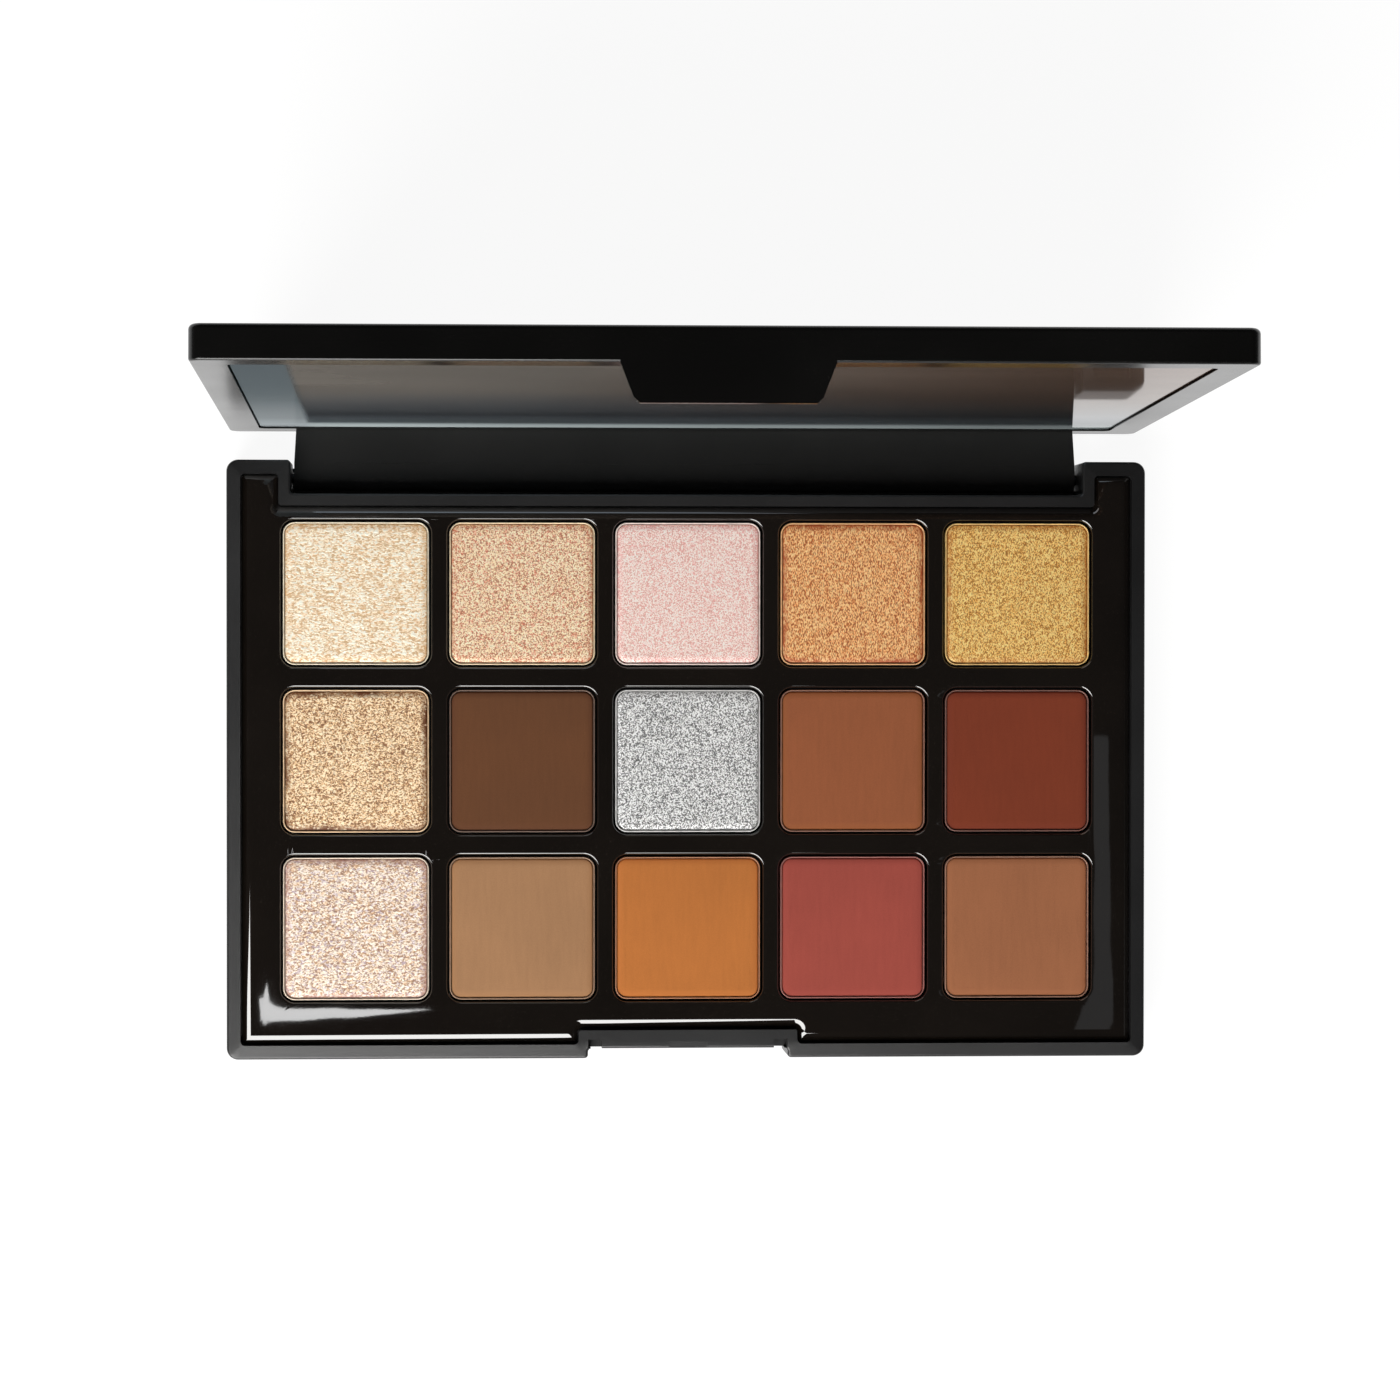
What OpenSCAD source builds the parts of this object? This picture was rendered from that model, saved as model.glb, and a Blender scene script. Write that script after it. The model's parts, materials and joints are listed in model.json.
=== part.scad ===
// Pocket eyeshadow palette: a flat case with a glossy pan tray, fifteen pressed powders in
// metal pans, and a mirrored lid that swings on two steel pins and stands on its rear edge.
// Millimetres, +Z up, +Y towards the hinge. The origin is the centre of the case's underside.

/* [Case] */
// Width of the case, side to side
case_w = 126; // [120:1:150]
// Depth of the case, front to hinge
case_d = 81.8; // [80:0.2:95]
// Height of the case from the table to the top of its rim
case_h = 9; // [8.6:0.2:12]
// Thickness of the case's outer wall, which shows as the rim
wall_t = 1.9; // [1.6:0.1:2.2]
// Thickness of the case's floor
floor_t = 1.2; // [1:0.1:1.4]
// Plan radius of the case's four outer corners
corner_r = 1.6; // [1.1:0.1:3]
// Radius along the case's bottom edge
foot_r = 0.8; // [0.4:0.1:1]
// Radius along the outside of the rim
rim_r = 0.35; // [0.2:0.05:0.5]
// Width of the step in the case wall that the tray sits on
step_w = 0.8; // [0.5:0.1:1.2]
// Thickness of the case's wall round the hinge notch
notch_wall_t = 1.6; // [1.4:0.1:1.9]

/* [Tray] */
// Depth of the tray's surface below the rim
tray_drop = 0.5; // [0.4:0.1:1]
// Thickness of the tray's top plate
tray_t = 1.3; // [1.2:0.1:1.6]
// Gap between the tray and the rim all round
tray_gap = 0.15; // [0.1:0.05:0.3]
// Width of the rounded border along the tray's edge
tray_edge_w = 1.6; // [1:0.1:1.8]
// Drop of that border from the tray's surface to its edge
tray_edge_h = 0.7; // [0.4:0.1:0.9]
// Thickness of the tray's pocket walls and floors
pocket_t = 0.8; // [0.6:0.1:1]
// Width of the rounding round the mouth of each pocket
mouth_w = 0.75; // [0.5:0.05:0.9]
// Drop of that rounding from the tray's surface to the pocket's wall
mouth_h = 0.5; // [0.3:0.05:0.6]

/* [Pans and powders] */
// Number of pans from side to side
columns = 5; // [4:1:5]
// Number of pans from front to hinge
rows = 3; // [2:1:3]
// Border between the case's sides and the cells of the pans
side_border = 6.25; // [6:0.05:8]
// Border between the case's front and the cells of the pans
front_border = 6.35; // [6:0.05:8]
// Border between the case's back and the cells of the pans
rear_border = 6.75; // [6.7:0.05:9]
// Width of the tray's web between pockets that lie side by side
web_x = 2.2; // [2:0.1:3.2]
// Width of the tray's web between pockets that lie one behind the other
web_y = 2.8; // [2.2:0.1:3.4]
// Drop from the tray's surface to the pans' rims
pan_drop = 0.35; // [0.2:0.05:0.5]
// Height of a pan
pan_h = 3.8; // [3:0.1:3.8]
// Plan radius of a pan's corners
pan_r = 1.6; // [1:0.1:2]
// Thickness of the pan's sheet metal
pan_t = 0.3; // [0.25:0.05:0.4]
// Clearance between a pan and its pocket
pan_gap = 0.3; // [0.25:0.05:0.4]
// Thickness of the glue under each pan
glue_t = 0.3; // [0.2:0.05:0.4]
// Radius of the glue dot under each pan
glue_r = 4; // [3:0.5:6]
// Drop from the pan's rim to the edge of its powder
powder_drop = 0.25; // [0.15:0.05:0.4]
// Rise of the pressed powder from its edge to its flat top
powder_rise = 0.15; // [0.1:0.05:0.25]
// Width of the sloping border of the pressed powder
powder_border = 0.9; // [0.6:0.1:1.4]

/* [Lid] */
// Thickness of the lid
lid_t = 4.4; // [4.2:0.1:6]
// Angle at which the open lid stands on its rear edge
open_angle = 92.3; // [91:0.1:100]
// Gap between the closed lid and the rim
lid_gap = 0.35; // [0.2:0.05:0.4]
// Radius along the lid's outer face
lid_r = 0.7; // [0.4:0.1:1]
// Width of the frame that the lid leaves round its mirror
mirror_frame = 4.3; // [3:0.1:6]
// Thickness of the mirror glass
mirror_t = 1.3; // [1:0.1:1.4]
// Depth of the glass below the lid's frame
mirror_drop = 0.25; // [0.1:0.05:0.4]
// Gap round the mirror glass
mirror_gap = 0.2; // [0.1:0.05:0.3]
// Thickness of the mirror's adhesive tape
tape_t = 0.2; // [0.1:0.05:0.3]
// Width of each of the two strips of tape
tape_w = 14; // [8:1:20]
// Distance from the strips' ends to the mirror's sides
tape_inset = 5; // [2:0.5:10]
// Thickness of the lid's outer plate
lid_plate_t = 1.4; // [1:0.1:1.5]

/* [Hinge] */
// Width of each rear corner of the case, which carries a hinge pin
horn_w = 8.7; // [7.5:0.1:12]
// Depth of the notch between those corners, from the back of the case
notch_d = 4.6; // [4.5:0.1:5]
// Side clearance between the barrel and the case
barrel_gap = 0.6; // [0.5:0.05:0.8]
// Radius of the hinge barrel
barrel_r = 1.95; // [1.7:0.05:2]
// Height of the low sill round the notch, below the barrel's edges
sill_h = 0.8; // [0.6:0.1:0.9]
// Depth of that sill in front of the barrel
sill_d = 1; // [0.7:0.1:1.1]
// Clearance between the sill and the barrel's ends
sill_gap = 0.3; // [0.2:0.05:0.35]
// Thickness of the skirt that joins the barrel to the lid
skirt_t = 1.9; // [1.5:0.1:2.2]
// Radius of the steel hinge pins
pin_r = 0.75; // [0.6:0.05:0.8]
// Running clearance of the pins in the barrel
pin_clear = 0.05; // [0.03:0.01:0.1]
// Length of each pin inside the barrel
pin_grip = 6; // [4:0.5:10]
// How far the pins' outer ends lie inside the case's sides
pin_inset = 0.4; // [0.2:0.1:0.8]

/* [Latch] */
// Width of the finger recess in the front of the case
recess_w = 27.4; // [24:0.2:32]
// Depth of that recess
recess_d = 1.35; // [1.3:0.05:1.5]
// Width of the latch tab where it joins the lid
tab_w = 25.4; // [20:0.2:26]
// Length of the latch tab
tab_l = 4.8; // [4:0.1:5]
// Thickness of the latch tab
tab_t = 0.9; // [0.8:0.05:0.95]
// Narrowing of the tab on each side towards its free end
tab_taper = 1.6; // [0.5:0.1:2.5]
// Radius of the snap bead on the tab
bead_r = 0.2; // [0.1:0.05:0.25]
// Width of the two slots at the ends of the latch ledge
slot_w = 1.9; // [1.5:0.1:2.2]
// Length of the slots from the front of the ledge
slot_l = 1.2; // [0.9:0.1:1.4]
// Depth of the slots below the ledge
slot_depth = 2.6; // [1.5:0.1:4]
// Width of the shallow nick in the middle of the ledge
nick_w = 5.2; // [4:0.2:8]
// Length of the nick from the front of the ledge
nick_l = 0.95; // [0.8:0.05:1.2]
// Depth of the nick
nick_depth = 0.12; // [0.08:0.02:0.2]
// Distance between the ends of the snap bead and its groove
bead_inset = 0.5; // [0.3:0.1:1]

/* [Hidden] */
fit = 0.01;                 // how far a cut runs past a face
fine = 64;                  // facets in a large circle
small = 32;                 // facets in a small circle
notch_w = case_w - 2 * horn_w;           // the gap that the lid's hinge barrel fills
pitch_x = (case_w - 2 * side_border) / columns;
pitch_y = (case_d - front_border - rear_border) / rows;
grid_y = (front_border - rear_border) / 2;
pan_w = pitch_x - web_x - 2 * pan_gap;
pan_d = pitch_y - web_y - 2 * pan_gap;
pocket_r = pan_r + pan_gap;
pocket_w = pan_w + 2 * pan_gap;
pocket_d = pan_d + 2 * pan_gap;
tray_z = case_h - tray_drop;             // the tray's surface
plate_z = tray_z - tray_t;               // the underside of the tray's plate
pan_top = tray_z - pan_drop;             // the pans' rims
pan_z = pan_top - pan_h;                 // the pans' undersides
pocket_z = pan_z - glue_t;               // the pockets' floors
block_z = pocket_z - pocket_t;           // the underside of the tray's pockets
block_x = (columns - 1) * pitch_x + pocket_w + 2 * pocket_t;
block_y = (rows - 1) * pitch_y + pocket_d + 2 * pocket_t;
block_gap = 0.3;                         // between the pockets and the case's ribs
rib_t = 1.2;                             // ribs that carry the tray and stiffen the lid
catch_t = 0.6;                           // what the recess's back wall takes from its side walls
lip_r = 0.5;                             // plan radius of the notch's and recess's corners
tray_r = 0.5;                            // plan radius of the tray's corners
glass_r = 1;                             // plan radius of the mirror recess's corners
nip_w = 0.7;                             // cut corners of the latch tab
back_gap = 0.3;                          // from the hinge barrel to the plane of the case's back
skirt_gap = 0.1;                         // from the hinge skirt to that plane
hinge_y = case_d / 2 - barrel_r - back_gap;  // the pins' axis
closed_z = case_h + lid_gap;             // the closed lid's inner face
// The pins' height puts the open lid's rear edge on the table.
hinge_z = ((case_d / 2 - hinge_y) * sin(open_angle) - (closed_z + lid_t) * cos(open_angle))
    / (1 - cos(open_angle));
glass_w = case_w - 2 * mirror_frame;
glass_d = case_d - 2 * mirror_frame;
glass_z = closed_z + mirror_drop;
seat_z = glass_z + mirror_t + tape_t;    // what the mirror's tape sticks to
barrel_w = notch_w - 2 * barrel_gap;
pin_end = case_w / 2 - pin_inset;
groove_w = recess_w - 2 * slot_w - 2 * bead_inset;
bead_w = groove_w - 2 * bead_inset;
over = 1;                                // how far a cut stands proud where nothing is above it
black = [0.03, 0.03, 0.032];

// Shades of the powders, front edge of the list first: row 1 lies at the hinge.
shades = [
    [[0.88, 0.72, 0.55], [0.85, 0.60, 0.47], [0.85, 0.65, 0.64], [0.70, 0.38, 0.18], [0.72, 0.50, 0.16]],
    [[0.76, 0.54, 0.33], [0.22, 0.13, 0.08], [0.60, 0.61, 0.62], [0.50, 0.28, 0.17], [0.40, 0.14, 0.09]],
    [[0.85, 0.75, 0.68], [0.55, 0.41, 0.27], [0.72, 0.42, 0.14], [0.56, 0.22, 0.22], [0.52, 0.33, 0.20]]];

// ---- outlines -------------------------------------------------------------
// An outline is a list of [x, y, corner radius] with square corners, given anticlockwise.

function spot(o, i) = [o[i][0], o[i][1]];
function way(o, i) = let (v = spot(o, (i + 1) % len(o)) - spot(o, i)) v / norm(v);
function back(o, i) = way(o, (i + len(o) - 1) % len(o));
function inward(v) = [-v[1], v[0]];
// 1 at an outward corner, -1 at an inward one
function turn(o, i) = back(o, i)[0] * way(o, i)[1] - back(o, i)[1] * way(o, i)[0] > 0 ? 1 : -1;
// From the corner to its arc's centre, as a diagonal of ones
function heart(o, i) = turn(o, i) * (inward(back(o, i)) + inward(way(o, i)));

module corner_bit(o, i) {
    r = o[i][2];
    h = heart(o, i);
    translate(spot(o, i)) difference() {
        translate([h[0] > 0 ? -fit : -r, h[1] > 0 ? -fit : -r])
            square(r + fit);
        translate(r * h)
            circle(r, $fn = small);
    }
}

module flat(o) {
    difference() {
        union() {
            polygon([for (p = o) [p[0], p[1]]]);
            for (i = [0:len(o) - 1]) if (turn(o, i) < 0) corner_bit(o, i);
        }
        for (i = [0:len(o) - 1]) if (turn(o, i) > 0) corner_bit(o, i);
    }
}

// How much of a straight side the corner i takes. A mitred section runs on to an outward corner.
function taken(o, i, mitre) = mitre && turn(o, i) > 0 ? -fit : o[i][2];

// Runs a section round outline o. The section is drawn with x into the outline and y upwards. It
// turns with the corners, or is mitred at the outward ones.
module run(o, mitre = false) {
    for (i = [0:len(o) - 1]) {
        next = (i + 1) % len(o);
        v = way(o, i);
        span = norm(spot(o, next) - spot(o, i)) - taken(o, i, mitre) - taken(o, next, mitre);
        translate(spot(o, i) + taken(o, i, mitre) * v)
            rotate([90, 0, atan2(v[0], -v[1])])
                linear_extrude(span) children();
        out = turn(o, i) > 0;
        n = out ? -inward(back(o, i)) : inward(v);
        if (!(mitre && out))
            translate(spot(o, i) + o[i][2] * heart(o, i))
                rotate(atan2(n[1], n[0]))
                    rotate_extrude(angle = 90, $fn = fine)
                        translate([o[i][2], 0])
                            mirror([out ? 1 : 0, 0])
                                children();
    }
}

// Radius of the arc that leaves a flat smoothly and drops by h over width w.
function arc_r(w, h) = (w * w + h * h) / (2 * h);

// Sections that round an upper edge at height z, over width w with drop h, and a lower edge.
module over_edge(w, h, z) {
    difference() {
        translate([-fit, z - h]) square([w + fit, h + fit]);
        translate([w, z - arc_r(w, h)]) circle(arc_r(w, h), $fn = fine);
    }
}

module under_edge(r, z) {
    difference() {
        translate([-fit, z - fit]) square(r + fit);
        translate([r, z + r]) circle(r, $fn = small);
    }
}

// The case's outline pulled in by t. The wall behind the recess is thicker by extra and those beside
// it are thinner by as much. The wall round the notch is thinner by spare. The radii are those of the
// case's own corners, of the other outward corners and of the inward ones.
function case_outline(t, extra, spare, own, out, in) = let (
        x = case_w / 2 - t,
        y = case_d / 2 - t,
        nx = notch_w / 2 + t - spare,
        ny = case_d / 2 - notch_d - t + spare,
        fx = recess_w / 2 + t - extra,
        fy = -case_d / 2 + recess_d + t + extra)
    [[-x, -y, own], [-fx, -y, out], [-fx, fy, in], [fx, fy, in], [fx, -y, out], [x, -y, own],
     [x, y, own], [nx, y, out], [nx, ny, in], [-nx, ny, in], [-nx, y, out], [-x, y, own]];

function box_outline(w, d, r) =
    [[-w / 2, -d / 2, r], [w / 2, -d / 2, r], [w / 2, d / 2, r], [-w / 2, d / 2, r]];

spare_t = wall_t - notch_wall_t;
seat_r = tray_r + tray_gap;
shell_outline = case_outline(0, 0, 0, corner_r, lip_r, lip_r);
seat_outline = case_outline(wall_t, catch_t, spare_t, seat_r, seat_r, lip_r - tray_gap);
tray_outline = case_outline(wall_t + tray_gap, catch_t, spare_t, tray_r, tray_r, lip_r);
lid_outline = box_outline(case_w, case_d, corner_r);

module rounded_box(w, d, r, h) {
    linear_extrude(h) flat(box_outline(w, d, r));
}

// ---- placement ------------------------------------------------------------

// Centre of the pan in row r, column c: row 1 lies at the hinge, column 1 on the left.
function pan_at(r, c) = [(c - (columns + 1) / 2) * pitch_x, ((rows + 1) / 2 - r) * pitch_y + grid_y, 0];

module each_pan() {
    for (r = [1:rows], c = [1:columns])
        translate(pan_at(r, c))
            children();
}

// Turns the lid from shut, as it is drawn, to open.
module open_lid() {
    translate([0, hinge_y, hinge_z])
        rotate([-open_angle, 0, 0])
            translate([0, -hinge_y, -hinge_z])
                children();
}

module along_x(r, h, sides) {
    rotate([0, 90, 0])
        cylinder(r = r, h = h, center = true, $fn = sides);
}

// ---- case -----------------------------------------------------------------

// The hollow below the tray. It stops short of the hinge notch, so the corners stay solid.
module hollow() {
    t = wall_t + step_w;
    x = case_w / 2 - t;
    front = -case_d / 2 + t;
    rear = case_d / 2 - notch_d - t;
    fx = recess_w / 2 + t;
    fy = front + recess_d + catch_t;
    translate([0, 0, floor_t])
        linear_extrude(case_h)
            flat([[-x, front, lip_r], [-fx, front, lip_r], [-fx, fy, lip_r], [fx, fy, lip_r],
                  [fx, front, lip_r], [x, front, lip_r], [x, rear, lip_r], [-x, rear, lip_r]]);
}

// Ribs under the pans' middles and beside the pockets carry the tray.
module ribs() {
    z = floor_t - fit;
    h = plate_z - z;
    front = -case_d / 2 + wall_t + recess_d;
    rear = case_d / 2 - notch_d - wall_t / 2;
    for (r = [1:rows])
        translate([wall_t - case_w / 2, pan_at(r, 1)[1] - rib_t / 2, z])
            cube([case_w - 2 * wall_t, rib_t, h]);
    for (c = [1:columns])
        translate([pan_at(1, c)[0] - rib_t / 2, front, z])
            cube([rib_t, rear - front, h]);
}

// The room that the tray's pockets take.
module pocket_room() {
    translate([0, grid_y, block_z])
        rounded_box(block_x + 2 * block_gap, block_y + 2 * block_gap, pocket_r, case_h);
}

// The sill that closes the gaps in front of the barrel and at its ends, clear of the open lid.
module sill() {
    side = barrel_gap - sill_gap;
    y = case_d / 2 - notch_d - fit;
    translate([-notch_w / 2 - fit, y, 0])
        cube([notch_w + 2 * fit, sill_d + fit, sill_h]);
    for (x = [-notch_w / 2 - fit, notch_w / 2 - side])
        translate([x, y, 0])
            cube([side + fit, notch_d - foot_r, sill_h]);
}

// The two slots at the ends of the ledge that the latch tab reaches over, the nick between them,
// and the groove that takes the tab's bead.
module latch_cuts() {
    face_y = -case_d / 2 + recess_d;
    for (x = [-recess_w / 2, recess_w / 2 - slot_w])
        translate([x, face_y - fit, case_h - slot_depth])
            cube([slot_w, slot_l + fit, case_h]);
    translate([-nick_w / 2, face_y - fit, case_h - nick_depth])
        cube([nick_w, nick_l + fit, case_h]);
    translate([0, face_y, closed_z - tab_l + 2 * bead_r])
        along_x(bead_r, groove_w, small);
}

module base_shell() {
    color(black) difference() {
        union() {
            difference() {
                linear_extrude(case_h) flat(shell_outline);
                run(lid_outline) under_edge(foot_r, 0);
                run(shell_outline) over_edge(rim_r, rim_r, case_h);
                translate([0, 0, plate_z])
                    linear_extrude(case_h) flat(seat_outline);
                hollow();
            }
            ribs();
            sill();
        }
        pocket_room();
        latch_cuts();
        for (x = [-1, 1])
            translate([x * (notch_w + case_w) / 4, hinge_y, hinge_z])
                along_x(pin_r, horn_w + over, small);
    }
}

// ---- tray -----------------------------------------------------------------

module pocket_cut() {
    translate([0, 0, pocket_z])
        rounded_box(pocket_w, pocket_d, pocket_r, case_h);
    run(box_outline(pocket_w, pocket_d, pocket_r))
        mirror([1, 0])
            over_edge(mouth_w, mouth_h, tray_z);
}

module pan_tray() {
    color(black) difference() {
        union() {
            difference() {
                translate([0, 0, plate_z])
                    linear_extrude(tray_t) flat(tray_outline);
                run(tray_outline, true) over_edge(tray_edge_w, tray_edge_h, tray_z);
            }
            translate([0, grid_y, block_z])
                rounded_box(block_x, block_y, pocket_r, plate_z - block_z + fit);
        }
        each_pan() pocket_cut();
    }
}

// ---- pans and powders -----------------------------------------------------

module pan() {
    color([0.83, 0.82, 0.80]) translate([0, 0, pan_z]) difference() {
        rounded_box(pan_w, pan_d, pan_r, pan_h);
        translate([0, 0, pan_t])
            rounded_box(pan_w - 2 * pan_t, pan_d - 2 * pan_t, pan_r - pan_t, pan_h);
    }
}

module powder(shade) {
    w = pan_w - 2 * pan_t;
    d = pan_d - 2 * pan_t;
    r = pan_r - pan_t;
    edge_z = pan_top - powder_drop;
    top = edge_z + powder_rise;
    border = min(powder_border, r - 0.1);
    color(shade) difference() {
        translate([0, 0, pan_z + pan_t])
            rounded_box(w, d, r, top - pan_z - pan_t);
        run(box_outline(w, d, r))
            polygon([[0, edge_z], [border, top], [border, top + fit], [-fit, top + fit], [-fit, edge_z]]);
    }
}

module pan_glue() {
    color([0.85, 0.85, 0.80]) each_pan()
        translate([0, 0, pocket_z])
            cylinder(r = glue_r, h = glue_t, $fn = fine);
}

// ---- hinge ----------------------------------------------------------------

module hinge_pin(side) {
    color([0.75, 0.76, 0.78])
        translate([side * (barrel_w / 2 - pin_grip + pin_end) / 2, hinge_y, hinge_z])
            along_x(pin_r, pin_end - barrel_w / 2 + pin_grip, small);
}

// ---- lid ------------------------------------------------------------------

module lid_body() {
    difference() {
        translate([0, 0, closed_z])
            linear_extrude(lid_t) flat(lid_outline);
        run(lid_outline) over_edge(lid_r, lid_r, closed_z + lid_t);
        run(lid_outline) under_edge(rim_r, closed_z);
    }
}

module lid_stiffener_cuts() {
    cells = [6, 4];
    cell = [(glass_w - rib_t) / cells[0], (glass_d - rib_t) / cells[1]];
    for (i = [0:cells[0] - 1], j = [0:cells[1] - 1])
        translate([rib_t - glass_w / 2 + i * cell[0], rib_t - glass_d / 2 + j * cell[1], seat_z - fit])
            cube([cell[0] - rib_t, cell[1] - rib_t, closed_z + lid_t - lid_plate_t - seat_z + fit]);
}

// The tab that hooks over the front of the case, with its snap bead.
module latch_tab() {
    y = -case_d / 2;
    z = closed_z - tab_l;
    low = tab_w / 2 - tab_taper;
    root = closed_z + lid_r;
    translate([0, y + tab_t, 0])
        rotate([90, 0, 0])
            linear_extrude(tab_t)
                polygon([[-tab_w / 2, root], [-tab_w / 2, closed_z], [-low, z + nip_w], [nip_w - low, z],
                         [low - nip_w, z], [low, z + nip_w], [tab_w / 2, closed_z], [tab_w / 2, root]]);
    translate([0, y + tab_t, z + 2 * bead_r])
        along_x(bead_r, bead_w, small);
}

module hinge_barrel() {
    translate([0, hinge_y, hinge_z])
        along_x(barrel_r, barrel_w, fine);
    translate([-barrel_w / 2, case_d / 2 - skirt_t - skirt_gap, hinge_z])
        cube([barrel_w, skirt_t, glass_z + mirror_t - hinge_z]);
}

module lid_shell() {
    color(black) open_lid() difference() {
        union() {
            lid_body();
            latch_tab();
            hinge_barrel();
        }
        translate([0, 0, closed_z - over])
            rounded_box(glass_w, glass_d, glass_r, seat_z - closed_z + over);
        lid_stiffener_cuts();
        for (x = [-1, 1])
            translate([x * barrel_w / 2, hinge_y, hinge_z])
                along_x(pin_r + pin_clear, 2 * pin_grip + over, small);
    }
}

module mirror_glass() {
    color([0.85, 0.88, 0.9]) open_lid()
        translate([0, 0, glass_z])
            rounded_box(glass_w - 2 * mirror_gap, glass_d - 2 * mirror_gap, glass_r - mirror_gap, mirror_t);
}

module mirror_tape() {
    color([0.9, 0.9, 0.88]) open_lid()
        for (y = [-1, 1])
            translate([0, y * (glass_d / 2 - tape_w), glass_z + mirror_t + tape_t / 2])
                cube([glass_w - 2 * tape_inset, tape_w, tape_t], center = true);
}

base_shell();
pan_tray();
pan_glue();
hinge_pin(-1);  // hinge_pin_left
hinge_pin(1);  // hinge_pin_right
lid_shell();
mirror_glass();
mirror_tape();
for (r = [1:rows], c = [1:columns]) {
    translate(pan_at(r, c)) pan();
    translate(pan_at(r, c)) powder(shades[r - 1][c - 1]);
}
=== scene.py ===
import json
import math

import bmesh
import bpy
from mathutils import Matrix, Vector


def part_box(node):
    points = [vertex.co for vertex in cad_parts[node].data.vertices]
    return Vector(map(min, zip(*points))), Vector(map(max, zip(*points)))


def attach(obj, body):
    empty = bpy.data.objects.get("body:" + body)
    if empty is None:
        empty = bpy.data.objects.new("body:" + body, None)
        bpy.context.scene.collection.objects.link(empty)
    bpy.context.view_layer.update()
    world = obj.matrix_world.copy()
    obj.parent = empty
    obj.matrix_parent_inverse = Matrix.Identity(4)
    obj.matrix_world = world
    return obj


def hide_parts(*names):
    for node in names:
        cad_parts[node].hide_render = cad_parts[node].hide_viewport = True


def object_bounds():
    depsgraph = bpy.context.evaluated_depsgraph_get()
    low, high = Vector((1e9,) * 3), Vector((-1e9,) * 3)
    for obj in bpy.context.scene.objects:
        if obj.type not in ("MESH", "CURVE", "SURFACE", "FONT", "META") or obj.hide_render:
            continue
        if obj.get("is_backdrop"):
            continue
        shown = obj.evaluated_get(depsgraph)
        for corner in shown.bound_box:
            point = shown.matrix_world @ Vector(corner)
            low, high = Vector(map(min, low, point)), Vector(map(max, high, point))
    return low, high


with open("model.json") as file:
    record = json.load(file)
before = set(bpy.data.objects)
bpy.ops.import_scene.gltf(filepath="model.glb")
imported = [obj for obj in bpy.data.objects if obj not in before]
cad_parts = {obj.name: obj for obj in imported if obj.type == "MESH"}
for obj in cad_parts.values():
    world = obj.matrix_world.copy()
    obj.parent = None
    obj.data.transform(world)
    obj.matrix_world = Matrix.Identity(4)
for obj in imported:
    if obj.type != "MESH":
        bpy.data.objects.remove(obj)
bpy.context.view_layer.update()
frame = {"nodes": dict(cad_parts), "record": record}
millimetre = 0.001
perMillimetre = 1000.0   # noise scale with features about a millimetre wide


# small helpers for node trees and meshes

def addNode(tree, kind, inputs=None, **settings):
    # inputs takes socket names or numbers, and values or sockets to link
    made = tree.nodes.new(kind)
    for name, value in settings.items():
        setattr(made, name, value)
    for name, value in (inputs or {}).items():
        if isinstance(value, bpy.types.NodeSocket):
            tree.links.new(value, made.inputs[name])
        else:
            made.inputs[name].default_value = value
    return made


def calc(tree, operation, *values, clamp=False):
    made = addNode(tree, "ShaderNodeMath", dict(enumerate(values)), operation=operation)
    made.use_clamp = clamp
    return made.outputs[0]


def vectorCalc(tree, operation, *values, scale=None):
    made = addNode(tree, "ShaderNodeVectorMath", dict(enumerate(values)), operation=operation)
    if scale is not None:
        if isinstance(scale, bpy.types.NodeSocket):
            tree.links.new(scale, made.inputs["Scale"])
        else:
            made.inputs["Scale"].default_value = scale
    return made.outputs["Value" if operation in ("LENGTH", "DOT_PRODUCT") else "Vector"]


def mixColour(tree, factor, first, second, blend="MIX"):
    made = addNode(tree, "ShaderNodeMix", {0: factor, 6: first, 7: second}, data_type="RGBA")
    made.blend_type = blend
    return made.outputs[2]


def ramp(tree, factor, stops):
    made = addNode(tree, "ShaderNodeValToRGB", {"Fac": factor})
    band = made.color_ramp
    while len(band.elements) < len(stops):
        band.elements.new(0.5)
    for element, (level, colour) in zip(band.elements, stops):
        element.position = level
        element.color = colour if len(colour) == 4 else (*colour, 1)
    return made.outputs["Color"]


def remap(tree, value, low, high, newLow=0.0, newHigh=1.0):
    made = addNode(tree, "ShaderNodeMapRange",
                   {"Value": value, "From Min": low, "From Max": high,
                    "To Min": newLow, "To Max": newHigh})
    return made.outputs["Result"]


def paint(code):
    # a colour from its six hexadecimal digits
    parts = [int(code[i:i + 2], 16) / 255 for i in (0, 2, 4)]
    return tuple(c / 12.92 if c <= 0.04045 else ((c + 0.055) / 1.055) ** 2.4 for c in parts)


def objectPlace(tree):
    return addNode(tree, "ShaderNodeTexCoord").outputs["Object"]


def newGroup(name, inputs, outputs, kind="ShaderNodeTree"):
    # inputs and outputs are (name, socket type, default) rows
    tree = bpy.data.node_groups.new(name, kind)
    for label, socketType, default in inputs:
        socket = tree.interface.new_socket(name=label, in_out="INPUT", socket_type=socketType)
        if default is not None:
            socket.default_value = default
    for label, socketType in outputs:
        tree.interface.new_socket(name=label, in_out="OUTPUT", socket_type=socketType)
    return tree, tree.nodes.new("NodeGroupInput").outputs, tree.nodes.new("NodeGroupOutput")


def useGroup(tree, group, **inputs):
    made = tree.nodes.new("ShaderNodeGroup")
    made.node_tree = group
    for name, value in inputs.items():
        if isinstance(value, bpy.types.NodeSocket):
            tree.links.new(value, made.inputs[name])
        else:
            made.inputs[name].default_value = value
    return made.outputs


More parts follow.
